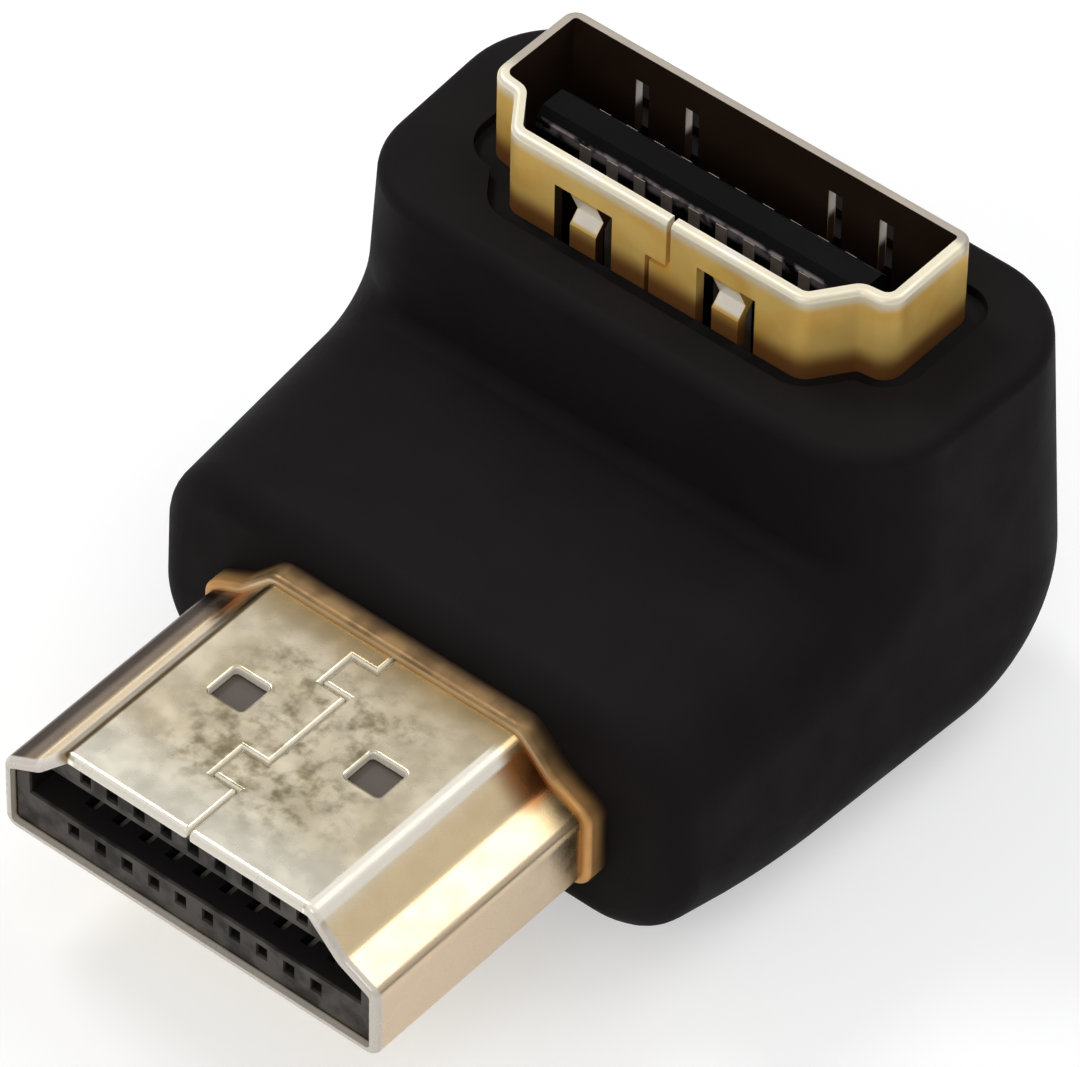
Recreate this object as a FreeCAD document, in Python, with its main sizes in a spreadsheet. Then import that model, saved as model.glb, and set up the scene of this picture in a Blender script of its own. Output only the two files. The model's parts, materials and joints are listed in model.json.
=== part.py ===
"""Right-angle video adapter: a flat plug at the front, a socket of the same kind on top, one moulded body.

The row's frame: the origin is the centre of the plug's mouth, +Y runs into the plug and towards the body's
back, +Z runs up out of the socket, and X is across the width. Sizes are in millimetres.
"""
import FreeCAD, Part
import math
import os
import re

import Sketcher
from FreeCAD import Placement, Rotation, Vector

SIZES = [
    ("plug_half_width", 6.95, "half the plug shell's width, outside"),
    ("plug_height", 4.45, "the plug shell's height, outside"),
    ("plug_side_height", 2.6, "height of the straight side above the wide face"),
    ("plug_ledge_run", 1.25, "width of the shallow ledge on each side"),
    ("plug_ledge_rise", 0.65, "rise of the ledge from the straight side to where it turns steep"),
    ("plug_face_margin", 0.55, "from the last contact in the short row to the narrow face's sharp corner"),
    ("plug_corner_radius", 0.45, "outside bend radius of the plug shell"),
    ("ledge_bend_radius", 0.6, "radius of the inward bends of both shells"),
    ("plug_wall", 0.3, "sheet thickness of the plug shell"),
    ("plug_reach", 9.6, "how far the plug stands out of the body"),
    ("shell_root", 4.0, "length of the plug shell inside the body"),
    ("plug_mouth_round", 0.22, "rounding of the plug shell's front edge"),
    ("latch_spread", 5.05, "distance between the two latch holes' centres"),
    ("latch_width", 1.3, "width of a latch hole"),
    ("latch_front", 4.45, "from the mouth to the latch holes"),
    ("latch_length", 1.25, "length of a latch hole"),
    ("latch_corner", 0.15, "corner radius of a latch hole"),
    ("cut_edge_round", 0.1, "rounding along the seam and round the latch holes, outside"),
    ("seam_gap", 0.1, "width of the gap in the plug shell's seam"),
    ("seam_tab_width", 0.95, "width of a tab in the plug's seam"),
    ("seam_tab_length", 1.3, "length of a tab in the plug's seam"),
    ("seam_tab_front", 2.15, "from the mouth to the first tab"),
    ("seam_tab_spacing", 4.65, "from one tab to the next"),
    ("collar_wall", 0.24, "thickness of the sleeve round the plug's root"),
    ("collar_show", 0.8, "how much of the sleeve stands out of the body"),
    ("collar_length", 3.0, "length of the sleeve"),
    ("collar_round", 0.2, "rounding of the sleeve's front edge"),
    ("fit_gap", 0.04, "clearance between a shell and the insulator in it"),
    ("insulator_setback", 0.25, "from the mouth to the plug insulator's face"),
    ("insulator_recess", 2.95, "from the plug shell's rear to the plug insulator's rear"),
    ("slot_lift", 0.115, "height of the slot's middle above the plug's middle"),
    ("slot_height", 1.57, "height of the slot that takes a tongue"),
    ("slot_cheek", 0.46, "plastic beside the slot's ends"),
    ("slot_depth", 8.2, "depth of the slot from the insulator's face"),
    ("row_offset", 1.236, "from the slot's middle to each row of contact channels"),
    ("contact_pitch", 1.0, "distance between neighbouring contacts"),
    ("contact_width", 0.3, "width of a plug contact"),
    ("contact_thickness", 0.2, "sheet thickness of all contacts"),
    ("channel_width", 0.42, "width of a contact's channel"),
    ("channel_height", 0.5, "height of a contact's channel"),
    ("channel_web", 0.7, "plastic between the face and the grooves into the slot"),
    ("tip_setback", 0.45, "from the insulator's face to the contacts' tips"),
    ("bow_start", 2.0, "from the mouth to where a contact bows into the slot"),
    ("bow_touch", 4.2, "from the mouth to the bow's crest"),
    ("bow_end", 7.2, "from the mouth to the bow's end"),
    ("bow_rise", 0.6, "how far the bow stands out of its channel"),
    ("board_thickness", 1.0, "thickness of the circuit board"),
    ("board_edge", 0.5, "board beside the holes for the socket shell's legs"),
    ("neck_gap", 0.85, "from the plug shell's side wall to the board's neck"),
    ("board_gap", 0.3, "from the plug shell's rear to the board's shoulders"),
    ("board_setback", 1.05, "from the plug insulator's rear to the circuit board's front edge"),
    ("board_tail", 1.36, "from the socket's wide wall to the circuit board's back edge"),
    ("tail_run", 0.75, "length of the step in a plug contact's tail"),
    ("tail_overlap", 1.7, "length of a plug contact's tail on the board"),
    ("socket_half_width", 7.0, "half the width of the socket's opening"),
    ("socket_opening", 4.55, "the socket's opening from its wide wall to its narrow wall"),
    ("socket_side", 3.1, "depth of the opening's straight side"),
    ("socket_ledge_run", 0.88, "width of the socket's ledge on each side"),
    ("socket_ledge_drop", 0.1, "from the end of the straight side to where the ledge turns steep"),
    ("socket_slope_run", 0.97, "width of the steep slope from there to the narrow wall"),
    ("socket_corner_radius", 0.3, "inside bend radius of the socket shell"),
    ("wide_corner_radius", 0.12, "inside bend radius at the ends of its wide wall"),
    ("socket_wall", 0.35, "sheet thickness of the socket shell"),
    ("socket_setback", 15.34, "from the body's front to the opening's wide wall"),
    ("socket_rim", 11.325, "height of the socket's rim above the plug's middle"),
    ("socket_rim_round", 0.18, "rounding of the rim's outer edge"),
    ("leg_width", 0.9, "width of a socket shell leg"),
    ("leg_spread", 1.5, "distance between the two legs on a side"),
    ("pin_projection", 0.6, "length of legs and tails under the board"),
    ("hole_gap", 0.05, "clearance round each leg and tail in the board"),
    ("finger_spread", 5.2, "distance between the narrow wall's two spring fingers"),
    ("finger_width", 0.95, "width of a spring finger in the narrow wall"),
    ("finger_slot", 0.58, "width of the slots beside it"),
    ("wide_finger_spread", 7.1, "distance between the wide wall's two flat fingers"),
    ("wide_finger_width", 1.35, "width of a flat finger in the wide wall"),
    ("wide_finger_slot", 0.5, "width of the slots beside it"),
    ("finger_top", 1.05, "from the rim down to the slots' upper ends"),
    ("finger_length", 3.6, "length of the slots"),
    ("finger_dip", 0.34, "how far a finger dips into the opening"),
    ("dip_depth", 0.8, "from the slots' upper ends down to the dip"),
    ("dip_return", 0.38, "from the dip down to where a finger is straight again"),
    ("socket_seam_shift", 0.5, "from the middle of the socket's narrow wall to its seam"),
    ("socket_seam_gap", 0.16, "width of the gap in the socket shell's seam"),
    ("notch_size", 0.75, "length of the step in the socket's seam"),
    ("notch_drop", 1.85, "from the rim down to the seam's step"),
    ("tongue_thickness", 1.45, "thickness of the socket's tongue"),
    ("tongue_gap", 1.15, "from the tongue's sides to the socket's side walls"),
    ("tongue_drop", 0.75, "from the rim down to the tongue's end"),
    ("tongue_edge", 0.3, "slope of the tongue's end"),
    ("socket_base", 3.4, "height of the socket insulator's base"),
    ("base_standoff", 1.1, "from the board up to the socket insulator"),
    ("strip_width", 0.4, "width of a socket contact"),
    ("strip_drop", 0.32, "from the tongue's end down to its contacts"),
    ("strip_proud", 0.03, "how far a socket contact stands out of the tongue"),
    ("tail_splay", 0.6, "how far each row of socket tails spreads outwards"),
    ("arm_top", 3.65, "height of the body's front edge above the plug's middle"),
    ("arm_bottom", 4.56, "depth of the body's front edge below the plug's middle"),
    ("base_depth", 5.55, "depth of the flat base below the plug's middle"),
    ("belly_setback", 4.46, "from the body's front to the corner where the base turns up"),
    ("belly_radius", 21.0, "radius of that turn"),
    ("elbow_bulge", 0.68, "how far the outer corner stands out behind the back of the body's top"),
    ("elbow_radius", 5.44, "radius of the body's outer corner"),
    ("socket_show", 2.74, "how far the socket stands out of the body"),
    ("back_cover", 2.27, "body behind the socket shell at the top"),
    ("front_cover", 2.12, "body in front of the socket shell at the top"),
    ("crook_lean", 0.26, "how far the inner corner lies in front of the top's front"),
    ("crook_height", 4.24, "height of the inner corner above the plug's middle"),
    ("crook_radius", 0.5, "radius of the inner corner"),
    ("side_run", 0.057, "how much each side narrows per unit towards the plug"),
    ("side_rise", 0.036, "how much each side narrows per unit towards the top"),
    ("outer_edge_radius", 3.27, "rounding of the base's, elbow's and back's long edges"),
    ("inner_edge_radius", 2.99, "rounding of the arm's and tower's inner long edges"),
    ("front_edge_radius", 1.07, "rounding round the body's front face"),
    ("top_edge_radius", 0.5, "rounding round the body's top"),
    ("moat_width", 0.65, "width of the recess round the socket shell"),
    ("moat_depth", 0.35, "depth of that recess"),
    ("core_setback", 2.7, "from the body's front to the inner moulding"),
    ("core_wall", 1.1, "wall of the body round the inner moulding, in the side view"),
    ("core_margin", 0.34, "inner moulding beside the circuit board"),
    ("core_side_wall", 1.32, "wall of the body beside the inner moulding's front"),
    ("core_top", 5.1, "height of the inner moulding's top above the plug's middle"),
    ("core_edge_radius", 0.8, "rounding of the inner moulding's long edges"),
]
WIDE_COUNT = 10
NARROW_COUNT = 9

# places along the part, worked out from the sizes
SHELL_END = "(plug_reach + shell_root)"
COLLAR_FRONT = "(plug_reach - collar_show)"
INSULATOR_END = "(%s - insulator_recess)" % SHELL_END
BOARD_FRONT = "(%s + board_setback)" % INSULATOR_END
WIDE_WALL = "(plug_reach + socket_setback)"
NARROW_WALL = "(%s - socket_opening)" % WIDE_WALL
BOARD_BACK = "(%s + board_tail)" % WIDE_WALL
TOWER_TOP = "(socket_rim - socket_show)"
TOWER_BACK = "(%s + socket_wall + back_cover)" % WIDE_WALL
TOWER_FRONT = "(%s - socket_wall - front_cover)" % NARROW_WALL
ELBOW_BACK = "(%s + elbow_bulge)" % TOWER_BACK
CROOK_FRONT = "(%s - crook_lean)" % TOWER_FRONT
CORE_FRONT = "(plug_reach + core_setback)"

# half widths
PLUG_LEDGE_HALF_WIDTH = "(plug_half_width - plug_ledge_run)"
PLUG_FACE_HALF_WIDTH = "(%s * contact_pitch + plug_face_margin)" % ((NARROW_COUNT - 1) / 2)
SOCKET_LEDGE_HALF_WIDTH = "(socket_half_width - socket_ledge_run)"
SLOT_HALF_WIDTH = "(plug_half_width - plug_wall - fit_gap - slot_cheek)"
TONGUE_HALF_WIDTH = "(socket_half_width - tongue_gap)"
BOARD_HALF_WIDTH = "(socket_half_width + socket_wall + hole_gap + board_edge)"
CORE_HALF_WIDTH = "(%s + core_margin)" % BOARD_HALF_WIDTH
BODY_HALF_WIDTH = "(%s + core_side_wall + side_run * (%s - %s))" % (CORE_HALF_WIDTH, TOWER_BACK, CORE_FRONT)

SKETCH_TURNS = {
    "XY": Rotation(),
    "XZ": Rotation(Vector(1, 0, 0), 90),
    "YZ": Rotation(Vector(1, 1, 1), 120),
}
CUTTER_REACH = 40.0
SAME_PLACE = 1e-4
SAME_EDGE = 0.05
CONSTRUCTION = True

doc = FreeCAD.newDocument("right_angle_adapter")
sheet = doc.addObject("Spreadsheet::Sheet", "Sizes")
for row, (alias, value, meaning) in enumerate(SIZES, start=1):
    sheet.set("A%d" % row, str(value))
    sheet.setAlias("A%d" % row, alias)
    sheet.set("B%d" % row, meaning)
doc.recompute()


def formula(text):
    """Writes a formula of size names as an expression that reads the sheet."""
    return re.sub(r"[a-z]+(?:_[a-z]+)+", lambda match: "Sizes." + match.group(0), str(text))


def number(text):
    return float(sheet.evalExpression(formula(text)))


def bind(item, **formulas):
    """Ties properties to formulas; a double underscore in a name stands for a dot."""
    for name, text in formulas.items():
        item.setExpression(name.replace("__", "."), formula(text))


# sketches

def corner_cut(before, corner, after, radius):
    """Where a rounded corner's arc starts, its middle and its end."""
    back = (before - corner).normalize()
    onward = (after - corner).normalize()
    half_angle = back.getAngle(onward) / 2
    cut = radius / math.tan(half_angle)
    centre = corner + (back + onward).normalize() * (radius / math.sin(half_angle))
    middle = centre + (corner - centre).normalize() * radius
    return corner + back * cut, middle, corner + onward * cut


def pin_down(sketch, geometry, position, point, across, along):
    """Holds a point of the sketch at a place given by two formulas."""
    for kind, place, text in (("DistanceX", point.x, across), ("DistanceY", point.y, along)):
        index = sketch.addConstraint(Sketcher.Constraint(kind, -1, 1, geometry, position, place))
        sketch.setExpression("Constraints[%d]" % index, formula(text))


def draw_outline(sketch, corners):
    """Draws a closed outline through corners (across, along, radius); radius None is a sharp corner."""
    points = [Vector(number(across), number(along), 0) for across, along, radius in corners]
    count = len(points)
    arcs = [None] * count
    starts = list(points)
    ends = [points[(index + 1) % count] for index in range(count)]
    for index, (across, along, radius) in enumerate(corners):
        if radius is None:
            continue
        first, middle, last = corner_cut(
            points[index - 1], points[index], points[(index + 1) % count], number(radius))
        ends[index - 1] = first
        starts[index] = last
        arcs[index] = Part.Arc(first, middle, last)
    lines = [sketch.addGeometry(Part.LineSegment(starts[index], ends[index]), False)
             for index in range(count)]
    for index, (across, along, radius) in enumerate(corners):
        before, after = lines[index - 1], lines[index]
        if radius is None:
            sketch.addConstraint(Sketcher.Constraint("Coincident", before, 2, after, 1))
            pin_down(sketch, after, 1, points[index], across, along)
            continue
        arc = sketch.addGeometry(arcs[index], False)
        near_end = 1 if (sketch.getPoint(arc, 1) - ends[index - 1]).Length < SAME_PLACE else 2
        sketch.addConstraint(Sketcher.Constraint("Tangent", before, 2, arc, near_end))
        sketch.addConstraint(Sketcher.Constraint("Tangent", after, 1, arc, 3 - near_end))
        rounding = sketch.addConstraint(Sketcher.Constraint("Radius", arc, number(radius)))
        sketch.setExpression("Constraints[%d]" % rounding, formula(radius))
        corner = sketch.addGeometry(Part.Point(points[index]), CONSTRUCTION)
        sketch.addConstraint(Sketcher.Constraint("PointOnObject", corner, 1, before))
        sketch.addConstraint(Sketcher.Constraint("PointOnObject", corner, 1, after))
        pin_down(sketch, corner, 1, points[index], across, along)


def free_sketch(name, plane, corners):
    sketch = doc.addObject("Sketcher::SketchObject", name)
    sketch.Placement = Placement(Vector(), SKETCH_TURNS[plane])
    draw_outline(sketch, corners)
    return sketch


def body_sketch(body, name, role, corners):
    sketch = body.newObject("Sketcher::SketchObject", name)
    planes = {plane.Role: plane for plane in body.Origin.OriginFeatures}
    sketch.AttachmentSupport = [(planes[role], "")]
    sketch.MapMode = "FlatFace"
    draw_outline(sketch, corners)
    return sketch


def mirrored_outline(half):
    """Completes a list of corners on the right with their mirror images on the left."""
    left = [("-(%s)" % across, along, radius) for across, along, radius in reversed(half)]
    return half + left


def rectangle(left, right, low, high, radius=None):
    return [(left, low, radius), (right, low, radius), (right, high, radius), (left, high, radius)]


# solids

def offset_outline(name, outline, distance):
    offset = doc.addObject("Part::Offset2D", name)
    offset.Source = outline
    bind(offset, Value=distance)
    return offset


def prism(name, outline, length, direction=None, start="0", symmetric=False):
    """A straight solid on an outline, from start along direction, or half to each side of the outline."""
    solid = doc.addObject("Part::Extrusion", name)
    solid.Base = outline
    solid.DirMode = "Custom"
    solid.Dir = direction
    solid.Symmetric = symmetric
    solid.Solid = True
    bind(solid, LengthFwd=length)
    axis = "xyz"[[abs(part) for part in direction].index(1)]
    bind(solid, **{"Placement__Base__" + axis: start})
    return solid


def box(name, corner, sides):
    """A box from its low corner and its three sides."""
    block = doc.addObject("Part::Box", name)
    bind(block, Length=sides[0], Width=sides[1], Height=sides[2])
    bind(block, Placement__Base__x=corner[0], Placement__Base__y=corner[1], Placement__Base__z=corner[2])
    return block


def join(name, pieces):
    union = doc.addObject("Part::MultiFuse", name)
    union.Shapes = pieces
    return union


def cut_away(name, base, tool):
    doc.recompute()
    result = doc.addObject("Part::Cut", name)
    result.Base = base
    result.Tool = tool
    doc.recompute()
    if result.Shape.Volume >= base.Shape.Volume:
        raise ValueError(name + " removed nothing")
    return result


def round_rim(name, base, radius, chosen):
    """Rounds the edges that the function chosen picks from the base's shape."""
    doc.recompute()
    rounded = doc.addObject("Part::Fillet", name)
    rounded.Base = base
    size = number(radius)
    rounded.Edges = [(index, size, size) for index, edge in enumerate(base.Shape.Edges, start=1)
                     if chosen(edge)]
    return rounded


def lies_at(edge, axis, place):
    """Whether a whole edge lies in the plane where the axis has that value."""
    low, high = {
        "x": (edge.BoundBox.XMin, edge.BoundBox.XMax),
        "y": (edge.BoundBox.YMin, edge.BoundBox.YMax),
        "z": (edge.BoundBox.ZMin, edge.BoundBox.ZMax),
    }[axis]
    return abs(low - place) < SAME_PLACE and abs(high - place) < SAME_PLACE


def middle_of(edge):
    return edge.valueAt((edge.FirstParameter + edge.LastParameter) / 2)


def keep(item, label):
    """Marks an object as a sub-part; its label names the file."""
    item.Label = label
    subparts.append(item)
    return item


subparts = []


# the two shells' outlines

plug_outline = free_sketch("plug_outline", "XZ", mirrored_outline([
    ("plug_half_width", "-plug_height / 2", "plug_corner_radius"),
    ("plug_half_width", "plug_side_height - plug_height / 2", "plug_corner_radius"),
    (PLUG_LEDGE_HALF_WIDTH, "plug_side_height + plug_ledge_rise - plug_height / 2", "ledge_bend_radius"),
    (PLUG_FACE_HALF_WIDTH, "plug_height / 2", "plug_corner_radius"),
]))
socket_outline = free_sketch("socket_outline", "XY", mirrored_outline([
    ("socket_half_width", WIDE_WALL, "wide_corner_radius"),
    ("socket_half_width", WIDE_WALL + " - socket_side", "socket_corner_radius"),
    (SOCKET_LEDGE_HALF_WIDTH, WIDE_WALL + " - socket_side - socket_ledge_drop", "ledge_bend_radius"),
    (SOCKET_LEDGE_HALF_WIDTH + " - socket_slope_run", NARROW_WALL, "socket_corner_radius"),
]))
doc.recompute()

INWARD = Vector(0, 1, 0)
UPWARD = Vector(0, 0, 1)
ACROSS = Vector(1, 0, 0)


# plug shell: folded sheet with a dovetailed seam and two latch holes in its narrow face

def seam_outline():
    """The gap along the plug's seam, a band that steps round two tabs."""
    right = [("seam_gap / 2", "-seam_gap")]
    left = [("-seam_gap / 2", "-seam_gap")]
    for tab in range(2):
        start = "(seam_tab_front + %d * seam_tab_spacing)" % tab
        end = "(%s + seam_tab_length)" % start
        right += [("seam_gap / 2", start + " + seam_gap / 2"),
                  ("seam_gap / 2 - seam_tab_width", start + " + seam_gap / 2"),
                  ("seam_gap / 2 - seam_tab_width", end + " - seam_gap / 2"),
                  ("seam_gap / 2", end + " - seam_gap / 2")]
        left += [("-seam_gap / 2", start + " - seam_gap / 2"),
                 ("-seam_gap / 2 - seam_tab_width", start + " - seam_gap / 2"),
                 ("-seam_gap / 2 - seam_tab_width", end + " + seam_gap / 2"),
                 ("-seam_gap / 2", end + " + seam_gap / 2")]
    right.append(("seam_gap / 2", SHELL_END + " + seam_gap"))
    left.append(("-seam_gap / 2", SHELL_END + " + seam_gap"))
    return [(across, along, None) for across, along in right + left[::-1]]


plug_form = prism("plug_form", plug_outline, SHELL_END, INWARD)
plug_rounded = round_rim("plug_rounded", plug_form, "plug_mouth_round", lambda edge: lies_at(edge, "y", 0))
plug_bore = prism("plug_bore", offset_outline("plug_bore_outline", plug_outline, "-plug_wall"),
                  SHELL_END + " + 2 * plug_wall", INWARD, start="-plug_wall")
plug_openings = [prism("plug_seam", free_sketch("plug_seam_outline", "XY", seam_outline()),
                       "plug_height", UPWARD)]
for side, name in ((-1, "left"), (1, "right")):
    hole = free_sketch("latch_outline_" + name, "XY", rectangle(
        "%d * latch_spread / 2 - latch_width / 2" % side,
        "%d * latch_spread / 2 + latch_width / 2" % side,
        "latch_front", "latch_front + latch_length", "latch_corner"))
    plug_openings.append(prism("latch_hole_" + name, hole, "plug_height", UPWARD))
plug_tube = cut_away("plug_tube", plug_rounded, plug_bore)
plug_opened = cut_away("plug_opened", plug_tube, join("plug_openings", plug_openings))


def is_cut_edge(edge):
    """An edge of the seam or of a latch hole in the plane of the narrow face."""
    within = abs(middle_of(edge).x) < number("latch_spread / 2 + latch_width")
    at_mouth = lies_at(edge, "y", number("plug_mouth_round"))
    at_rear = lies_at(edge, "y", number(SHELL_END))
    return within and lies_at(edge, "z", number("plug_height / 2")) and not at_mouth and not at_rear


keep(round_rim("plug_shell_rounded", plug_opened, "cut_edge_round", is_cut_edge), "plug_shell")


# collar: the sleeve round the plug's root, half of it inside the body

collar_form = prism("collar_form", offset_outline("collar_outline", plug_outline, "collar_wall"),
                    "collar_length", INWARD, start=COLLAR_FRONT)
collar_rounded = round_rim("collar_rounded", collar_form, "collar_round",
                           lambda edge: lies_at(edge, "y", number(COLLAR_FRONT)))
plug_space = prism("plug_space", plug_outline, SHELL_END, INWARD)
keep(cut_away("collar_cut", collar_rounded, plug_space), "plug_collar")


# circuit board, level with the plug's slot

BOARD_LOW = "(slot_lift - board_thickness / 2)"
BOARD_HIGH = "(slot_lift + board_thickness / 2)"
NECK_END = "(%s + board_gap)" % SHELL_END
NECK_HALF_WIDTH = "(plug_half_width - plug_wall - neck_gap)"
board_blank = prism("board_blank", free_sketch("board_outline", "XY", mirrored_outline([
    (BOARD_HALF_WIDTH, BOARD_BACK, None),
    (BOARD_HALF_WIDTH, NECK_END, None),
    (NECK_HALF_WIDTH, NECK_END, None),
    (NECK_HALF_WIDTH, BOARD_FRONT, None),
])), "board_thickness", UPWARD, start=BOARD_LOW)


# contacts: flat strips, each row drawn once and repeated at its pitch

def strip_outline(path, thickness, along_first):
    """Outline of a bent strip from its middle line; thickness is laid across the first or second value."""
    half = "(%s) / 2" % thickness
    if along_first:
        low = [("%s - %s" % (across, half), along, None) for across, along in path]
        high = [("%s + %s" % (across, half), along, None) for across, along in path]
    else:
        low = [(across, "%s - %s" % (along, half), None) for across, along in path]
        high = [(across, "%s + %s" % (along, half), None) for across, along in path]
    return low + high[::-1]


def row_places(count):
    """How many pitches each contact of a row lies from the middle."""
    return [index - (count - 1) / 2 for index in range(count)]


def contact_row(prefix, outline, count, width, first_number, step):
    """Makes one row's contacts; their numbers rise by step, as the two rows are numbered in turn."""
    row_contacts = []
    for index, place in enumerate(row_places(count)):
        label = "%s_%02d" % (prefix, first_number + step * index)
        contact = prism(label, outline, width, ACROSS,
                        start="%s * contact_pitch" % place, symmetric=True)
        row_contacts.append(keep(contact, label))
    return row_contacts


def plug_contact_path(side):
    """Middle line of a plug contact: tip, bow into the slot, back through the rear, step down to the board."""
    level = "slot_lift + %d * row_offset" % side
    crest = "slot_lift + %d * (row_offset - bow_rise)" % side
    tail = "slot_lift + %d * (board_thickness + contact_thickness) / 2" % side
    return [("insulator_setback + tip_setback", level), ("bow_start", level), ("bow_touch", crest),
            ("bow_end", level), (INSULATOR_END, level), (INSULATOR_END + " + tail_run", tail),
            (BOARD_FRONT + " + tail_overlap", tail)]


plug_contacts = []
for side, count, first_number in ((1, NARROW_COUNT, 2), (-1, WIDE_COUNT, 1)):
    outline = free_sketch("plug_contact_outline_%d" % first_number, "YZ",
                          strip_outline(plug_contact_path(side), "contact_thickness", False))
    plug_contacts += contact_row("plug_contact", outline, count, "contact_width", first_number, 2)


TONGUE_MIDDLE = "(%s - socket_opening / 2 - slot_lift)" % WIDE_WALL
TONGUE_END = "(socket_rim - tongue_drop)"
BASE_LOW = "(%s + base_standoff)" % BOARD_HIGH


def socket_contact_path(side):
    """Middle line of a socket contact: down the tongue, through the base, out and through the board."""
    face = "%s + %d * (tongue_thickness / 2 + strip_proud - contact_thickness / 2)" % (TONGUE_MIDDLE, side)
    tail = "%s + %d * tail_splay" % (face, side)
    return [(face, TONGUE_END + " - strip_drop"), (face, BASE_LOW + " - contact_thickness"),
            (tail, BASE_LOW + " - contact_thickness - tail_splay"), (tail, BOARD_LOW + " - pin_projection")]


socket_contacts = []
for side, count, first_number in ((-1, NARROW_COUNT, 2), (1, WIDE_COUNT, 1)):
    outline = free_sketch("socket_contact_outline_%d" % first_number, "YZ",
                          strip_outline(socket_contact_path(side), "contact_thickness", True))
    socket_contacts += contact_row("socket_contact", outline, count, "strip_width", first_number, 2)


# plug insulator: fills the shell, with a slot for a tongue and a channel for each contact

insulator_form = prism("insulator_form",
                       offset_outline("insulator_outline", plug_outline, "-plug_wall - fit_gap"),
                       INSULATOR_END + " - insulator_setback", INWARD, start="insulator_setback")
insulator_hollows = [box("slot", ("-" + SLOT_HALF_WIDTH, "0", "slot_lift - slot_height / 2"),
                         ("2 * " + SLOT_HALF_WIDTH, "insulator_setback + slot_depth", "slot_height"))]
for side, count in ((1, NARROW_COUNT), (-1, WIDE_COUNT)):
    for index, place in enumerate(row_places(count)):
        tag = "%s_%d" % ("narrow" if side > 0 else "wide", index)
        left = "%s * contact_pitch - channel_width / 2" % place
        insulator_hollows.append(box(
            "channel_" + tag, (left, "0", "slot_lift + %d * row_offset - channel_height / 2" % side),
            ("channel_width", INSULATOR_END + " + fit_gap", "channel_height")))
        low = "slot_lift" if side > 0 else "slot_lift - row_offset"
        insulator_hollows.append(box(
            "groove_" + tag, (left, "insulator_setback + channel_web", low),
            ("channel_width", "slot_depth - channel_web", "row_offset")))
keep(cut_away("plug_insulator_cut", insulator_form, join("insulator_hollows", insulator_hollows)),
     "plug_insulator")


# socket shell: folded sheet on four legs, with spring fingers in both long walls

SHELL_HEIGHT = "(socket_rim - %s)" % BOARD_HIGH
FINGER_HIGH = "(socket_rim - finger_top)"
socket_outer_outline = offset_outline("socket_outer_outline", socket_outline, "socket_wall")
socket_form = prism("socket_form", socket_outer_outline, SHELL_HEIGHT, UPWARD, start=BOARD_HIGH)
socket_rounded = round_rim("socket_rounded", socket_form, "socket_rim_round",
                           lambda edge: lies_at(edge, "z", number("socket_rim")))
socket_bore = prism("socket_bore", socket_outline, SHELL_HEIGHT + " + 2 * socket_wall", UPWARD,
                    start=BOARD_HIGH + " - socket_wall")
socket_tube = cut_away("socket_tube", socket_rounded, socket_bore)
NARROW_OUTSIDE = "(%s - 2 * socket_wall)" % NARROW_WALL
WIDE_INSIDE = "(%s - socket_wall)" % WIDE_WALL
THROUGH = "3 * socket_wall"
NARROW_MIDDLE = "(%s - socket_wall / 2)" % NARROW_WALL
finger_outline = free_sketch("finger_outline", "YZ", strip_outline(
    [(NARROW_MIDDLE, FINGER_HIGH), (NARROW_MIDDLE + " + finger_dip", FINGER_HIGH + " - dip_depth"),
     (NARROW_MIDDLE, FINGER_HIGH + " - dip_depth - dip_return"),
     (NARROW_MIDDLE, FINGER_HIGH + " - finger_length")],
    "socket_wall", True))
socket_windows = []
socket_fingers = []
for side, name in ((-1, "left"), (1, "right")):
    socket_windows.append(box(
        "window_" + name,
        ("%d * finger_spread / 2 - finger_width / 2 - finger_slot" % side,
         NARROW_OUTSIDE, FINGER_HIGH + " - finger_length"),
        ("finger_width + 2 * finger_slot", THROUGH, "finger_length")))
    socket_fingers.append(prism("finger_" + name, finger_outline, "finger_width", ACROSS,
                                start="%d * finger_spread / 2" % side, symmetric=True))
    for end, end_name in ((-1, "near"), (1, "far")):
        socket_windows.append(box(
            "wide_slot_%s_%s" % (name, end_name),
            ("%d * wide_finger_spread / 2 + %d * (wide_finger_width + wide_finger_slot) / 2 - wide_finger_slot / 2"
             % (side, end), WIDE_INSIDE, FINGER_HIGH + " - finger_length"),
            ("wide_finger_slot", THROUGH, "finger_length")))
SEAM_LEFT = "(socket_seam_shift - socket_seam_gap / 2)"
STEP_LEVEL = "(socket_rim - notch_drop)"
STEP_LEFT = "(%s - notch_size)" % SEAM_LEFT
SHELL_UNDERSIDE = "(%s - socket_wall)" % BOARD_HIGH
socket_windows.append(box("seam_above_step", (SEAM_LEFT, NARROW_OUTSIDE, STEP_LEVEL),
                          ("socket_seam_gap", THROUGH, "notch_drop + socket_wall")))
socket_windows.append(box("seam_step", (STEP_LEFT, NARROW_OUTSIDE, STEP_LEVEL),
                          ("notch_size + socket_seam_gap", THROUGH, "socket_seam_gap")))
socket_windows.append(box("seam_below_step", (STEP_LEFT, NARROW_OUTSIDE, SHELL_UNDERSIDE),
                          ("socket_seam_gap", THROUGH, "%s - %s + socket_seam_gap" % (STEP_LEVEL, SHELL_UNDERSIDE))))
LEG_CORNERS = {
    "leg_%s_%s" % (side_name, end_name): (
        "%d * (socket_half_width + socket_wall / 2) - socket_wall / 2" % side,
        WIDE_WALL + " - socket_side / 2 - leg_width / 2 + %d * leg_spread / 2" % end)
    for side, side_name in ((-1, "left"), (1, "right"))
    for end, end_name in ((-1, "front"), (1, "rear"))
}
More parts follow.
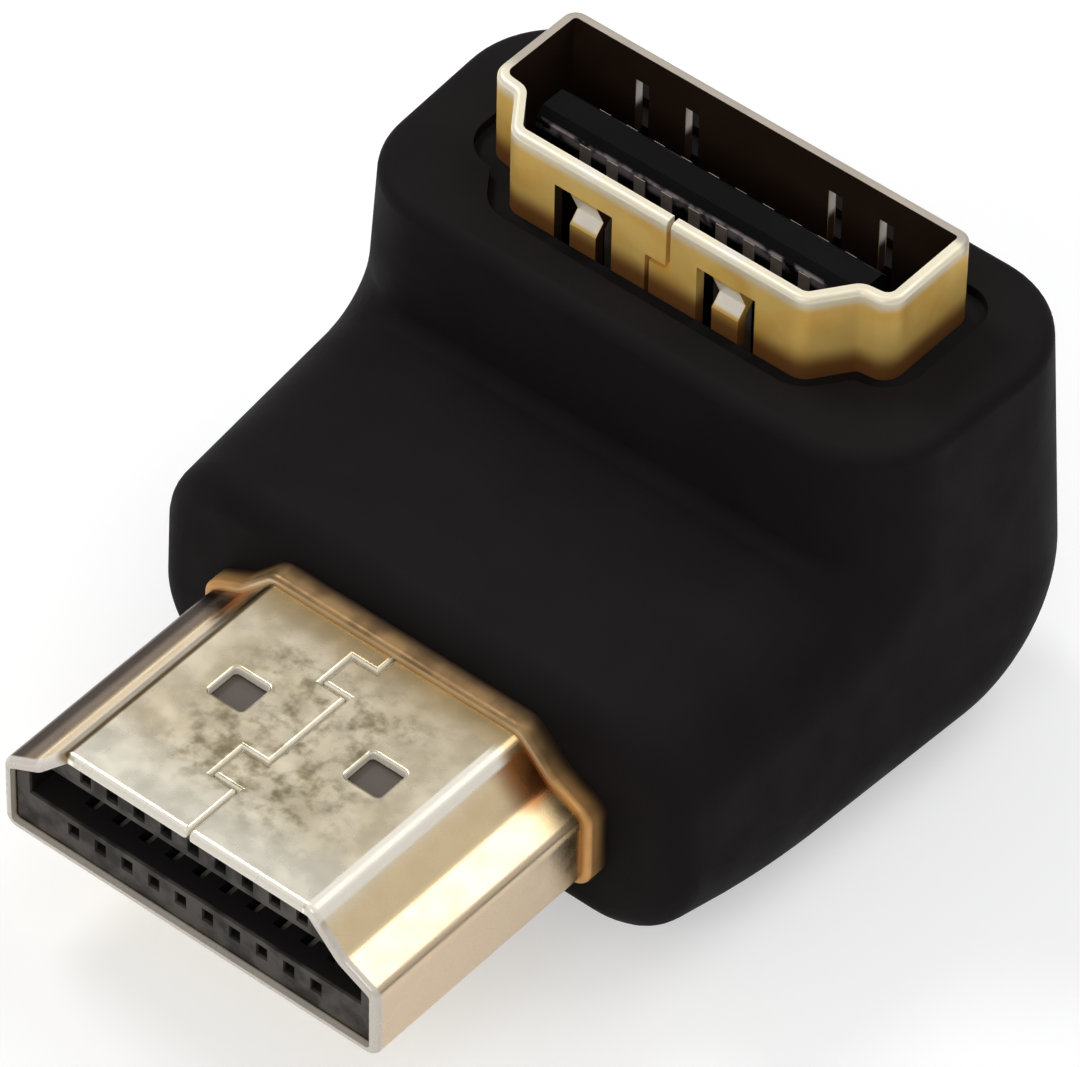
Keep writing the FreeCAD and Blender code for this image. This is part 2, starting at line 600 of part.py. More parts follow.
legs = [box(name, (across, along, BOARD_LOW + " - pin_projection"),
            ("socket_wall", "leg_width", "board_thickness + pin_projection + socket_wall"))
        for name, (across, along) in LEG_CORNERS.items()]
socket_open = cut_away("socket_open", socket_tube, join("socket_windows", socket_windows))
keep(join("socket_shell_joined", [socket_open] + socket_fingers + legs), "socket_shell")


# socket insulator: a base in the shell and the tongue, grooved for the contacts

base_outline = offset_outline("base_outline", socket_outline, "-fit_gap")
base_form = prism("base_form", base_outline, "socket_base", UPWARD, start=BASE_LOW)
tongue_form = prism("tongue_form", free_sketch("tongue_outline", "YZ", [
    (TONGUE_MIDDLE + " - tongue_thickness / 2", BASE_LOW, None),
    (TONGUE_MIDDLE + " + tongue_thickness / 2", BASE_LOW, None),
    (TONGUE_MIDDLE + " + tongue_thickness / 2", TONGUE_END + " - tongue_edge", None),
    (TONGUE_MIDDLE + " + tongue_thickness / 2 - tongue_edge", TONGUE_END, None),
    (TONGUE_MIDDLE + " - tongue_thickness / 2 + tongue_edge", TONGUE_END, None),
    (TONGUE_MIDDLE + " - tongue_thickness / 2", TONGUE_END + " - tongue_edge", None),
]), "2 * " + TONGUE_HALF_WIDTH, ACROSS, symmetric=True)
keep(cut_away("socket_insulator_cut", join("socket_insulator_form", [base_form, tongue_form]),
              join("socket_contact_group", socket_contacts)), "socket_insulator")


# board holes: one for each socket tail and shell leg

board_holes = []
for side, count in ((-1, NARROW_COUNT), (1, WIDE_COUNT)):
    tail = socket_contact_path(side)[-1][0]
    for index, place in enumerate(row_places(count)):
        board_holes.append(box(
            "tail_hole_%s_%d" % ("narrow" if side < 0 else "wide", index),
            ("%s * contact_pitch - strip_width / 2 - hole_gap" % place,
             tail + " - contact_thickness / 2 - hole_gap", BOARD_LOW + " - hole_gap"),
            ("strip_width + 2 * hole_gap", "contact_thickness + 2 * hole_gap",
             "board_thickness + 2 * hole_gap")))
for name, (across, along) in LEG_CORNERS.items():
    board_holes.append(box(
        name + "_hole", (across + " - hole_gap", along + " - hole_gap", BOARD_LOW + " - hole_gap"),
        ("socket_wall + 2 * hole_gap", "leg_width + 2 * hole_gap", "board_thickness + 2 * hole_gap")))
keep(cut_away("circuit_board_cut", board_blank, join("board_holes", board_holes)), "circuit_board")


# outer form of the body: an L in side view, narrowing towards both connectors, all edges rounded

def tilted_cut(body, base, side):
    """Cuts one side of the body along a plane that leans in towards the plug and towards the top."""
    sketch = body_sketch(body, "side_plane_left" if side < 0 else "side_plane_right", "YZ_Plane",
                         rectangle(str(-CUTTER_REACH), str(CUTTER_REACH), str(-CUTTER_REACH), str(CUTTER_REACH)))
    outward = Vector(-number("side_run"), number("side_rise"), side)
    sketch.AttachmentOffset = Placement(
        Vector(number(TOWER_BACK), number(TOWER_TOP), side * number(BODY_HALF_WIDTH)),
        Rotation(Vector(0, 0, 1), outward))
    pocket = body.newObject("PartDesign::Pocket", "side_cut_left" if side < 0 else "side_cut_right")
    pocket.Profile = sketch
    pocket.Type = "ThroughAll"
    pocket.Reversed = True
    doc.recompute()
    if pocket.Shape.Volume >= base.Shape.Volume:
        raise ValueError(pocket.Name + " removed nothing")
    return pocket


def round_body(body, name, base, radius, chosen):
    fillet = body.newObject("PartDesign::Fillet", name)
    fillet.Base = (base, ["Edge%d" % index for index, edge in enumerate(base.Shape.Edges, start=1)
                          if chosen(edge)])
    bind(fillet, Radius=radius)
    doc.recompute()
    return fillet


def is_long_edge(edge):
    """An edge between a side and a face that runs along the L, not at either connector's end."""
    crosses = edge.BoundBox.XLength > number("outer_edge_radius")
    at_end = lies_at(edge, "y", number("plug_reach")) or lies_at(edge, "z", number(TOWER_TOP))
    return not crosses and not at_end


def is_outer(edge):
    middle = middle_of(edge)
    return middle.z < 0 or middle.y > number(WIDE_WALL)


body_form = doc.addObject("PartDesign::Body", "body_form")
side_view = body_sketch(body_form, "side_view", "YZ_Plane", [
    ("plug_reach", "-arm_bottom", None),
    ("plug_reach + belly_setback", "-base_depth", "belly_radius"),
    (ELBOW_BACK, "-base_depth", "elbow_radius"),
    (TOWER_BACK, TOWER_TOP, None),
    (TOWER_FRONT, TOWER_TOP, None),
    (CROOK_FRONT, "crook_height", "crook_radius"),
    ("plug_reach", "arm_top", None),
])
slab = body_form.newObject("PartDesign::Pad", "slab")
slab.Profile = side_view
slab.Midplane = True
bind(slab, Length="2 * %s + 2 * outer_edge_radius" % BODY_HALF_WIDTH)
doc.recompute()
narrowed = tilted_cut(body_form, tilted_cut(body_form, slab, 1), -1)
outer_rounded = round_body(body_form, "outer_rounded", narrowed, "outer_edge_radius",
                           lambda edge: is_long_edge(edge) and is_outer(edge))
inner_edges = [middle_of(edge) for edge in narrowed.Shape.Edges if is_long_edge(edge) and not is_outer(edge)]
inner_rounded = round_body(
    body_form, "inner_rounded", outer_rounded, "inner_edge_radius",
    lambda edge: any((middle_of(edge) - middle).Length < SAME_EDGE for middle in inner_edges))
front_rounded = round_body(body_form, "front_rounded", inner_rounded, "front_edge_radius",
                           lambda edge: lies_at(edge, "y", number("plug_reach")))
round_body(body_form, "top_rounded", front_rounded, "top_edge_radius",
           lambda edge: lies_at(edge, "z", number(TOWER_TOP)))


# inner moulding: holds the board and the shells' rear ends, and is itself inside the body

core_outline = free_sketch("core_outline", "YZ", [
    (CORE_FRONT, "core_wall - base_depth", None),
    (ELBOW_BACK + " - core_wall", "core_wall - base_depth", "elbow_radius - core_wall"),
    (ELBOW_BACK + " - core_wall", "core_top", None),
    (CROOK_FRONT + " + core_wall", "core_top", None),
    (CROOK_FRONT + " + core_wall", "crook_height - core_wall", None),
    (CORE_FRONT, "crook_height - core_wall", None),
])
core_form = prism("core_form", core_outline, "2 * " + CORE_HALF_WIDTH, ACROSS, symmetric=True)
core_rounded = round_rim("core_rounded", core_form, "core_edge_radius",
                         lambda edge: edge.BoundBox.XLength < SAME_PLACE)
plug_fill = prism("plug_fill", offset_outline("plug_fill_outline", plug_outline, "-plug_wall"),
                  "insulator_recess", INWARD, start=INSULATOR_END)
core_solid = join("core_solid", [core_rounded, plug_fill])
shell_space = prism("shell_space", socket_outer_outline, SHELL_HEIGHT, UPWARD, start=BOARD_HIGH)
enclosed = join("enclosed", [board_blank, shell_space, plug_tube, insulator_form]
                + legs + plug_contacts + socket_contacts)
keep(cut_away("inner_mold_cut", core_solid, enclosed), "inner_mold")


# overmould: the outer form less everything that it is moulded round

moat = prism("moat", offset_outline("moat_outline", socket_outline, "socket_wall + moat_width"),
             "moat_depth + top_edge_radius", UPWARD, start=TOWER_TOP + " - moat_depth")
embedded = join("embedded", [core_rounded, plug_space, collar_rounded, shell_space, moat])
keep(cut_away("overmold_cut", body_form, embedded), "overmold")


# checks and export

doc.recompute()
for item in doc.Objects:
    if "Invalid" in item.State or "Error" in item.State:
        raise ValueError("%s is %s" % (item.Name, item.State))
os.makedirs("parts", exist_ok=True)
for item in subparts:
    if item.Shape.isNull() or not item.Shape.isValid() or not item.Shape.Solids:
        raise ValueError(item.Label + " has no valid solid")
for item in subparts:
    item.Shape.exportStep(os.path.join("parts", item.Label + ".step"))
    print("%-20s solids %d  volume %.3f" % (item.Label, len(item.Shape.Solids), item.Shape.Volume))
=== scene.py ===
import json
import math
from collections import namedtuple

import bpy
from mathutils import Matrix, Vector


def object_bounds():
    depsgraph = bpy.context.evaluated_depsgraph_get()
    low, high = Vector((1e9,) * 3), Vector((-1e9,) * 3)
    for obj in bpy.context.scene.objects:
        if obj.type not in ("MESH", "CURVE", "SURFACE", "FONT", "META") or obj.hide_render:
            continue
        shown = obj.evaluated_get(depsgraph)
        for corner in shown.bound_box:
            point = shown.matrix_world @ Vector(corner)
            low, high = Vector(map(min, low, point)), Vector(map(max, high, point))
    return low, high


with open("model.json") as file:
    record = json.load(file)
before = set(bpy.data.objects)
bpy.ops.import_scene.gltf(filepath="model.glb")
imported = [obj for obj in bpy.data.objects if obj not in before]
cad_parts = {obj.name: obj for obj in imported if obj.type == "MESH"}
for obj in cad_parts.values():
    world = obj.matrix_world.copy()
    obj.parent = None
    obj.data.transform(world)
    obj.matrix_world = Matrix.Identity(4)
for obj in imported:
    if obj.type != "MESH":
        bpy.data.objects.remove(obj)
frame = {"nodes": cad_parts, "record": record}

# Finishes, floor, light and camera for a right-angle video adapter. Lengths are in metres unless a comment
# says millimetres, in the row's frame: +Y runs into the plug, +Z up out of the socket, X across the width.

MILLIMETRE = 0.001
cad_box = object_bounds()


# node helpers

# a mix node's sockets when it mixes colours
MIX_FACTOR, MIX_UNDER, MIX_OVER, MIX_RESULT = 0, 6, 7, 2

# most of a noise texture's values lie between these
NOISE_LOW, NOISE_HIGH = 0.3, 0.7


def new_material(name):
    """A material with one principled shader; returns it with its node tree and the shader."""
    material = bpy.data.materials.new(name)
    material.use_nodes = True
    tree = material.node_tree
    return material, tree, tree.nodes["Principled BSDF"]


def add(tree, kind, inputs=(), **settings):
    """Adds a node; inputs are pairs of a socket's name or number and a value or another node's output."""
    node = tree.nodes.new(kind)
    for name, value in settings.items():
        setattr(node, name, value)
    for socket, value in inputs:
        if isinstance(value, bpy.types.NodeSocket):
            tree.links.new(value, node.inputs[socket])
        else:
            node.inputs[socket].default_value = value
    return node


def place(tree, stretch=(1, 1, 1)):
    """The point on the object, in millimetres, stretched along the axes."""
    coordinates = add(tree, "ShaderNodeTexCoord")
    scale = [part / MILLIMETRE for part in stretch]
    mapping = add(tree, "ShaderNodeMapping", [("Vector", coordinates.outputs["Object"]), ("Scale", scale)])
    return mapping.outputs["Vector"]


def noise(tree, vector, size, detail=3.0):
    """Soft noise whose blotches are about size millimetres across."""
    return add(tree, "ShaderNodeTexNoise", [
        ("Vector", vector), ("Scale", 1 / size), ("Detail", detail),
    ]).outputs["Fac"]


def ramp(tree, factor, stops):
    """A smooth colour ramp; stops are pairs of a position and a colour."""
    node = add(tree, "ShaderNodeValToRGB", [("Fac", factor)])
    node.color_ramp.interpolation = "EASE"
    elements = node.color_ramp.elements
    while len(elements) < len(stops):
        elements.new(1.0)
    for element, (position, colour) in zip(elements, stops):
        element.position = position
        element.color = (*colour, 1.0)
    return node.outputs["Color"]


def spread(tree, value, low, high):
    """Carries a noise's values over to between low and high."""
    return add(tree, "ShaderNodeMapRange", [
        ("Value", value), ("From Min", NOISE_LOW), ("From Max", NOISE_HIGH),
        ("To Min", low), ("To Max", high),
    ]).outputs["Result"]


def fade(tree, value, start, end):
    """Goes smoothly from 0 where the value is start to 1 where it is end."""
    return add(tree, "ShaderNodeMapRange", [
        ("Value", value), ("From Min", start), ("From Max", end),
    ], interpolation_type="SMOOTHSTEP").outputs["Result"]


def calculate(tree, operation, *values):
    """The result of a math node."""
    return add(tree, "ShaderNodeMath", list(enumerate(values)), operation=operation).outputs[0]


def calculate_vector(tree, operation, first, second):
    """The vector math node for two vectors."""
    return add(tree, "ShaderNodeVectorMath", [(0, first), (1, second)], operation=operation)


def combine(tree, operation, factors):
    """The product of the factors with MULTIPLY, the largest of them with MAXIMUM."""
    result, *others = factors
    for other in others:
        result = calculate(tree, operation, result, other)
    return result


def lay_over(tree, factor, under, colour):
    """Lays a colour over another node's colour."""
    return add(tree, "ShaderNodeMix", [
        (MIX_FACTOR, factor), (MIX_UNDER, under), (MIX_OVER, (*colour, 1.0)),
    ], data_type="RGBA").outputs[MIX_RESULT]


def bump(tree, height, depth, under=None):
    """Bump of a depth in millimetres, laid over another bump if one is given."""
    inputs = [("Height", height), ("Strength", 1.0), ("Distance", depth * MILLIMETRE)]
    if under is not None:
        inputs.append(("Normal", under))
    return add(tree, "ShaderNodeBump", inputs).outputs["Normal"]


# patches: places on the part whose colour differs

# A patch is a colour and the regions that it covers. Where a region lies is given in millimetres: across from
# the middle plane, along +Y and up +Z. Two numbers are where it starts and where it is full; four are where
# it starts, is full, is still full and ends. Its side is left, towards -X, or right. Its stains are a noise's
# size and detail, and the noise's values where they start and are full. With inside_of it lies only where an
# upright wall faces that point. A painted highlight is pale, dull plate that catches the lamps.
Region = namedtuple("Region", "across along up side stains inside_of rubbed", defaults=[None] * 7)

# X where each side of the middle plane starts and where it is full
SIDES = {"left": (0.5, -0.5), "right": (-0.5, 0.5)}

SOCKET_MIDDLE = (0, 23.4, 0)

# a wall's distance from the tube's middle in millimetres, below 0 where it faces it: start and full
FACES_IN = (-0.3, -1.0)


def facing_in(tree, centre):
    """1 where an upright tube's wall faces its middle, 0 where it faces out."""
    outward = calculate_vector(tree, "SUBTRACT", place(tree), centre).outputs["Vector"]
    level = calculate_vector(tree, "MULTIPLY", outward, (1, 1, 0)).outputs["Vector"]
    normal = add(tree, "ShaderNodeTexCoord").outputs["Normal"]
    facing = calculate_vector(tree, "DOT_PRODUCT", level, normal).outputs["Value"]
    return fade(tree, facing, *FACES_IN)


def fades(tree, value, limits):
    """One fade for two limits; for four, a second one that takes the value out again."""
    start, full = limits[:2]
    factors = [fade(tree, value, start, full)]
    if len(limits) == 4:
        still_full, end = limits[2:]
        factors.append(fade(tree, value, end, still_full))
    return factors


def cover(tree, here, region):
    """1 in a region, 0 outside it; here is the point on the object."""
    split = add(tree, "ShaderNodeSeparateXYZ", [("Vector", here)])
    factors = []
    if region.across:
        factors += fades(tree, calculate(tree, "ABSOLUTE", split.outputs["X"]), region.across)
    if region.along:
        factors += fades(tree, split.outputs["Y"], region.along)
    if region.up:
        factors += fades(tree, split.outputs["Z"], region.up)
    if region.side:
        factors += fades(tree, split.outputs["X"], SIDES[region.side])
    if region.stains:
        size, detail, *limits = region.stains
        factors += fades(tree, noise(tree, here, size, detail), limits)
    if region.inside_of:
        factors.append(facing_in(tree, region.inside_of))
    return combine(tree, "MULTIPLY", factors)


def lay_patches(tree, colour, patches):
    """Lays patches over a colour; returns that and a factor that is 1 where one is a painted highlight, or
    None.
    """
    here = place(tree)
    rubbed = []
    for patch_colour, *regions in patches:
        factor = combine(tree, "MAXIMUM", [cover(tree, here, region) for region in regions])
        colour = lay_over(tree, factor, colour, patch_colour)
        # patches that are painted highlights are gathered, so that the plate can be made duller there
        if any(region.rubbed for region in regions):
            rubbed.append(factor)
    return colour, combine(tree, "MAXIMUM", rubbed) if rubbed else None


RIM_HEIGHT = (10.75, 11.15)
# inside the sheet of the socket's wide wall, where only the slits' sides show
WIDE_WALL_CUTS = {"across": (6.6, 6.5), "along": (24.95, 24.98, 25.25, 25.28)}

PLUG_PATCHES = [
    # paler near the mouth
    ((1.0, 0.94, 0.78), Region(along=(3.0, 0.6))),
    # stains round the seam
    ((0.38, 0.32, 0.19), Region(across=(4.4, 1.6), along=(0.6, 2.6, 6.6, 8.8), stains=(0.5, 4.0, 0.4, 0.74))),
    # painted reflection: yellower on the steep faces, darker down the sides
    ((0.88, 0.69, 0.42), Region(across=(4.5, 5.2))),
    ((0.67, 0.53, 0.37), Region(across=(6.3, 6.9))),
    # brown at the sleeve, redder on the steep faces
    ((0.52, 0.37, 0.18), Region(along=(7.2, 8.8))),
    ((0.45, 0.17, 0.05), Region(across=(4.6, 4.9, 5.7, 6.2), along=(7.0, 8.2))),
    # painted shade on the left ledge, most at its outer half, and on the fold above it
    ((0.38, 0.28, 0.20), Region(across=(5.75, 5.95), up=(0.1, 0.4), side="left")),
    ((0.09, 0.06, 0.04), Region(across=(6.15, 6.45), up=(0.1, 0.4), side="left")),
    ((0.24, 0.17, 0.08), Region(across=(4.36, 4.46, 4.9, 5.15), up=(1.0, 1.2), side="left")),
    # painted highlights on the edges of the seam and the latch holes, and along the right fold
    ((1.0, 0.94, 0.81), Region(across=(4.25, 4.2), up=(1.92, 1.96, 2.19, 2.215), rubbed=True),
     Region(across=(4.24, 4.32, 4.8, 4.88), along=(8.3, 7.6), up=(1.0, 1.2), side="right", rubbed=True)),
    # painted highlight along the sheet's edge round the mouth
    ((0.80, 0.73, 0.64), Region(along=(0.26, 0.16), up=(2.0, 1.6), rubbed=True)),
]

COLLAR_PATCHES = [
    # painted light: the sleeve's front face is paler, lifting the shade on it
    ((0.80, 0.60, 0.34), Region(along=(8.86, 8.81))),
    # redder down the sides
    ((0.68, 0.37, 0.13), Region(across=(5.0, 6.6))),
    # painted shade where it runs into the body
    ((0.08, 0.045, 0.025), Region(along=(9.1, 9.6))),
]

SOCKET_PATCHES = [
    # painted highlight along the rim, duller at its left end and its far side
    ((1.0, 0.91, 0.70), Region(up=RIM_HEIGHT)),
    ((0.55, 0.48, 0.40), Region(across=(6.7, 6.95), along=(21.8, 22.6), up=RIM_HEIGHT, side="left"),
     Region(along=(24.6, 24.9), up=RIM_HEIGHT)),
    # painted shade: darker brown at the foot, next to the body
    ((0.30, 0.12, 0.03), Region(up=(9.4, 8.6))),
    # painted highlight on the fingers where they bend in from the narrow wall
    ((1.0, 0.93, 0.80), Region(across=(2.13, 2.16, 3.04, 3.07), along=(20.06, 20.16, 21.2, 21.4))),
    # painted shade inside the tube, on the walls that face its middle
    ((0.035, 0.018, 0.010), Region(inside_of=SOCKET_MIDDLE)),
    # the sides of the wide wall's slits: painted shade below and a painted highlight near their tops
    ((0.05, 0.03, 0.02), Region(up=(10.8, 10.7), **WIDE_WALL_CUTS)),
    ((0.98, 0.93, 0.86), Region(up=(9.1, 9.5, 10.7, 10.8), rubbed=True, **WIDE_WALL_CUTS)),
]

TONGUE_PATCHES = [
    # grey along the edge of the tongue's end, where the contacts start, painted lighter to lift the wall's
    # shade
    ((0.30, 0.25, 0.26),
     Region(along=(21.92, 21.84), up=(9.9, 10.1, 10.35, 10.45), stains=(0.5, 2.0, 0.35, 0.6))),
]

INSULATOR_PATCHES = [
    # dust on the plug's face
    ((0.125, 0.112, 0.100), Region(stains=(0.8, 3.0, 0.35, 0.65))),
    # painted shade in the slot and the channels, behind the face
    ((0.018, 0.016, 0.016), Region(along=(0.3, 0.4))),
    # painted light: paler on the insulator's top, seen through the latch holes
    ((0.13, 0.11, 0.095), Region(up=(1.7, 1.8))),
]


# materials

# the metallic of painted highlights: dull plate, so that the pale colour catches the lamps
PAINTED_HIGHLIGHT_METALLIC = 0.15

# the noise's values where plate turns from deep to pale
CLOUDS_START, CLOUDS_FULL = 0.32, 0.62

# the grain of rolled sheet: its size and depth in millimetres, and how it is drawn out along +Z
ROLLED_SIZE = 0.12
ROLLED_DEPTH = 0.0006
ROLLED_STRETCH = (1, 1, 0.2)

# moulded plastic: how large its uneven colour, its satin patches and the waves of its flow are, and how deep
# the waves, in millimetres; and how far its roughness strays
TINT_SIZE = 3.0
SATIN_SIZE = 1.4
FLOW_SIZE = 6.0
FLOW_DEPTH = 0.02
SATIN_RANGE = 0.06

# the board's tracks: the wave texture's scale, for one track a millimetre, and their height in millimetres
TRACK_SCALE = 0.31
TRACK_HEIGHT = 0.02


def plated_metal(name, pale, deep, blotch, roughness, dent, metallic=1.0, patches=()):
    """Gold plate over rolled sheet: cloudy colour, soft dents that break up reflections and a fine grain.

    blotch is the size of the clouds and dent the depth of the dents, in millimetres.
    """
    material, tree, shader = new_material(name)
    here = place(tree)
    clouds = ramp(tree, noise(tree, here, blotch, 4.0), [(CLOUDS_START, deep), (CLOUDS_FULL, pale)])
    colour, rubbed = lay_patches(tree, clouds, patches)
    tree.links.new(colour, shader.inputs["Base Color"])
    shader.inputs["Metallic"].default_value = metallic
    # where highlights are painted the plate is duller, so that they catch the lamps
    if rubbed is not None:
        tree.links.new(add(tree, "ShaderNodeMapRange", [
            ("Value", rubbed), ("To Min", metallic), ("To Max", PAINTED_HIGHLIGHT_METALLIC),
        ]).outputs["Result"], shader.inputs["Metallic"])
    smudges = noise(tree, here, blotch * 0.6)
    tree.links.new(spread(tree, smudges, roughness * 0.8, roughness * 1.25), shader.inputs["Roughness"])
    dents = bump(tree, noise(tree, here, blotch * 1.3, 1.0), dent)
    rolled = noise(tree, place(tree, ROLLED_STRETCH), ROLLED_SIZE, 2.0)
    tree.links.new(bump(tree, rolled, ROLLED_DEPTH, dents), shader.inputs["Normal"])
    return material


def moulded_plastic(name, pale, deep, roughness, specular, grain_size, grain_depth, index=1.45, patches=()):
    """Moulded plastic: a slightly uneven colour, a satin skin and the fine grain of the mould.

    grain_size and grain_depth are in millimetres, and index is the index of refraction.
    """
    material, tree, shader = new_material(name)
    here = place(tree)
    tint = ramp(tree, noise(tree, here, TINT_SIZE), [(NOISE_LOW, deep), (NOISE_HIGH, pale)])
    colour, _ = lay_patches(tree, tint, patches)
    tree.links.new(colour, shader.inputs["Base Color"])
    shader.inputs["IOR"].default_value = index
    shader.inputs["Specular IOR Level"].default_value = specular
    satin = noise(tree, here, SATIN_SIZE, 4.0)
    tree.links.new(spread(tree, satin, roughness - SATIN_RANGE, roughness + SATIN_RANGE),
                   shader.inputs["Roughness"])
    flow = bump(tree, noise(tree, here, FLOW_SIZE, 1.0), FLOW_DEPTH)
    grain = add(tree, "ShaderNodeTexVoronoi", [("Vector", here), ("Scale", 1 / grain_size)],
                feature="SMOOTH_F1").outputs["Distance"]
    tree.links.new(bump(tree, grain, grain_depth, flow), shader.inputs["Normal"])
    return material


def board_laminate():
    """Green solder mask over laminate, with tracks under it along the board."""
    material, tree, shader = new_material("board_laminate")
    here = place(tree)
    tracks = add(tree, "ShaderNodeTexWave", [("Vector", here), ("Scale", TRACK_SCALE), ("Distortion", 0.5)],
                 bands_direction="X").outputs["Fac"]
    colour = ramp(tree, tracks, [(0.35, (0.008, 0.06, 0.02)), (0.6, (0.02, 0.14, 0.05))])
    tree.links.new(colour, shader.inputs["Base Color"])
    tree.links.new(spread(tree, noise(tree, here, 0.8), 0.25, 0.4), shader.inputs["Roughness"])
    tree.links.new(bump(tree, tracks, TRACK_HEIGHT), shader.inputs["Normal"])
    return material


SLOT_MATERIALS = {
    "body_plastic": moulded_plastic(
        "body_black", pale=(0.0150, 0.0130, 0.0136), deep=(0.0128, 0.0112, 0.0117),
        roughness=0.6, specular=0.6, grain_size=0.14, grain_depth=0.004, index=1.09),
    "core_plastic": moulded_plastic(
        "core_natural", pale=(0.66, 0.64, 0.58), deep=(0.54, 0.51, 0.45),
        roughness=0.5, specular=0.4, grain_size=0.3, grain_depth=0.01),
    "insulator_plastic": moulded_plastic(
        "insulator_black", pale=(0.052, 0.047, 0.041), deep=(0.040, 0.036, 0.031),
        roughness=0.6, specular=0.15, grain_size=0.2, grain_depth=0.006, patches=INSULATOR_PATCHES),
    "tongue_plastic": moulded_plastic(
        "tongue_black", pale=(0.006, 0.0055, 0.0055), deep=(0.004, 0.0037, 0.0037),
        roughness=0.5, specular=0.3, grain_size=0.2, grain_depth=0.004, index=1.2, patches=TONGUE_PATCHES),
    "plug_gold": plated_metal(
        "plug_plate", pale=(1.0, 0.88, 0.66), deep=(0.85, 0.73, 0.51),
        blotch=1.4, roughness=0.27, dent=0.010, patches=PLUG_PATCHES),
    "collar_gold": plated_metal(
        "collar_plate", pale=(0.40, 0.25, 0.11), deep=(0.20, 0.12, 0.05),
        blotch=1.2, roughness=0.5, dent=0.006, metallic=0.7, patches=COLLAR_PATCHES),
    "socket_gold": plated_metal(
        "socket_plate", pale=(1.0, 0.67, 0.19), deep=(0.93, 0.54, 0.11),
        blotch=2.0, roughness=0.42, dent=0.006, metallic=0.35, patches=SOCKET_PATCHES),
    "contact_gold": plated_metal(
        "contact_plate", pale=(0.62, 0.53, 0.46), deep=(0.48, 0.40, 0.34),
        blotch=0.7, roughness=0.34, dent=0.004, metallic=0.5),
    "board": board_laminate(),
}


def dress_nodes():
    """Gives each CAD node the finish of its slot in the record."""
    for subpart in frame["record"]["subparts"]:
        item = frame["nodes"][subpart["node"]]
        item.data.materials.clear()
        item.data.materials.append(SLOT_MATERIALS[subpart["material_slot"]])


# floor

FLOOR_HALF_SIZE = 2.0
FLOOR_GAP = 0.01 * MILLIMETRE
# the size of its mottle in millimetres, and the two greys
FLOOR_MOTTLE_SIZE = 40.0
FLOOR_GREYS = (0.63, 0.65)
# the light that it gives off where the camera or a reflection sees it
FLOOR_LIFT = 0.48


def make_floor():
    """A broad pale floor under the base; what the camera and reflections see of it is lifted to white."""
    height = cad_box[0].z - FLOOR_GAP
    corners = [(-1, -1), (1, -1), (1, 1), (-1, 1)]
    mesh = bpy.data.meshes.new("floor")
    mesh.from_pydata([(x * FLOOR_HALF_SIZE, y * FLOOR_HALF_SIZE, height) for x, y in corners],
                     [], [(0, 1, 2, 3)])
    floor = bpy.data.objects.new("floor", mesh)
    bpy.context.scene.collection.objects.link(floor)
    material, tree, shader = new_material("floor_white")
    mottle = noise(tree, place(tree), FLOOR_MOTTLE_SIZE)
    dark, light = ((grey,) * 3 for grey in FLOOR_GREYS)
    tree.links.new(ramp(tree, mottle, [(NOISE_LOW, dark), (NOISE_HIGH, light)]), shader.inputs["Base Color"])
    shader.inputs["Roughness"].default_value = 0.9
    shader.inputs["Specular IOR Level"].default_value = 0.0
    rays = add(tree, "ShaderNodeLightPath").outputs
    lifted = ("Is Camera Ray", "Is Glossy Ray", "Is Transmission Ray")
    seen = combine(tree, "MAXIMUM", [rays[name] for name in lifted])
    shader.inputs["Emission Color"].default_value = (1, 1, 1, 1)
    tree.links.new(calculate(tree, "MULTIPLY", seen, FLOOR_LIFT), shader.inputs["Emission Strength"])
    mesh.materials.append(material)


# light

SKY_STRENGTH = 0.52
# height of the direction, and the colour there
SKY_STOPS = [(0.0, (0.45, 0.45, 0.46)), (0.35, (0.6, 0.6, 0.61)), (0.9, (1, 1, 1))]
LAMPS = [
    # name, direction from the object, distance, size, watts
    ("key", (-0.62, 0.12, 0.78), 0.40, 0.13, 0.47),
    ("back", (0.24, 0.55, 0.80), 0.40, 0.26, 0.34),
    ("right", (0.74, 0.50, 0.45), 0.45, 0.24, 0.05),
    ("front", (0.10, -0.80, 0.58), 0.45, 0.20, 0.36),
]


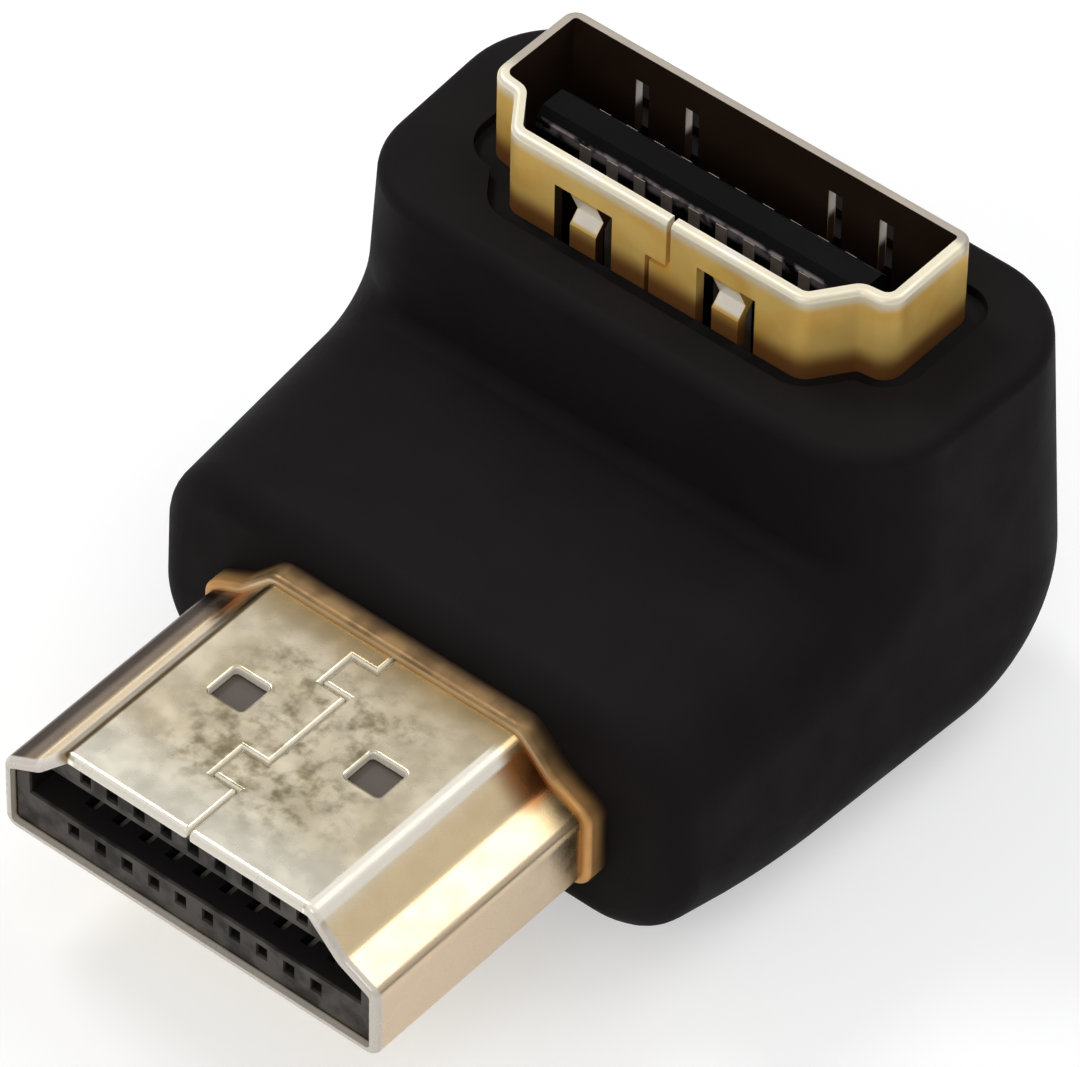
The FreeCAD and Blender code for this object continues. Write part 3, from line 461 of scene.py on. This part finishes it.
def make_sky():
    """A plain pale surround, lighter overhead than at the horizon."""
    world = bpy.data.worlds.new("surround")
    bpy.context.scene.world = world
    world.use_nodes = True
    tree = world.node_tree
    background = tree.nodes["Background"]
    coordinates = add(tree, "ShaderNodeTexCoord")
    height = add(tree, "ShaderNodeSeparateXYZ", [("Vector", coordinates.outputs["Generated"])]).outputs["Z"]
    tree.links.new(ramp(tree, height, SKY_STOPS), background.inputs["Color"])
    background.inputs["Strength"].default_value = SKY_STRENGTH


def make_lamps():
    """Round area lamps that point at the middle of the part."""
    centre = (cad_box[0] + cad_box[1]) / 2
    for name, direction, distance, size, watts in LAMPS:
        data = bpy.data.lights.new("lamp_" + name, "AREA")
        data.shape = "DISK"
        data.size = size
        data.energy = watts
        lamp = bpy.data.objects.new("lamp_" + name, data)
        bpy.context.scene.collection.objects.link(lamp)
        outward = Vector(direction).normalized()
        lamp.location = centre + outward * distance
        lamp.rotation_euler = outward.to_track_quat("Z", "Y").to_euler()


# camera: the photograph's, found from the plug's contact holes and both rims

CAMERA_AZIMUTH = math.radians(39.114)
CAMERA_ELEVATION = math.radians(45.298)
CAMERA_ROLL = math.radians(1.188)
CAMERA_DISTANCE = 273.6 * MILLIMETRE
CAMERA_AIM = Vector((2.249, 12.438, 5.921)) * MILLIMETRE
SENSOR_WIDTH = 36.0
LENS = 326.16


def make_camera():
    """The photograph's viewpoint."""
    sideways = Vector((math.cos(CAMERA_AZIMUTH), math.sin(CAMERA_AZIMUTH), 0))
    back = Vector((math.sin(CAMERA_AZIMUTH) * math.cos(CAMERA_ELEVATION),
                   -math.cos(CAMERA_AZIMUTH) * math.cos(CAMERA_ELEVATION),
                   math.sin(CAMERA_ELEVATION)))
    upward = back.cross(sideways)
    turn = Matrix((sideways, upward, back)).transposed()
    data = bpy.data.cameras.new("photo_camera")
    data.sensor_fit = "HORIZONTAL"
    data.sensor_width = SENSOR_WIDTH
    data.lens = LENS
    data.clip_start = CAMERA_DISTANCE / 10
    data.clip_end = CAMERA_DISTANCE * 100
    camera = bpy.data.objects.new("photo_camera", data)
    bpy.context.scene.collection.objects.link(camera)
    camera.matrix_world = (Matrix.Translation(CAMERA_AIM + back * CAMERA_DISTANCE)
                           @ (turn @ Matrix.Rotation(CAMERA_ROLL, 3, "Z")).to_4x4())
    bpy.context.scene.camera = camera


dress_nodes()
make_floor()
make_sky()
make_lamps()
make_camera()
bpy.context.scene.view_settings.view_transform = "Standard"
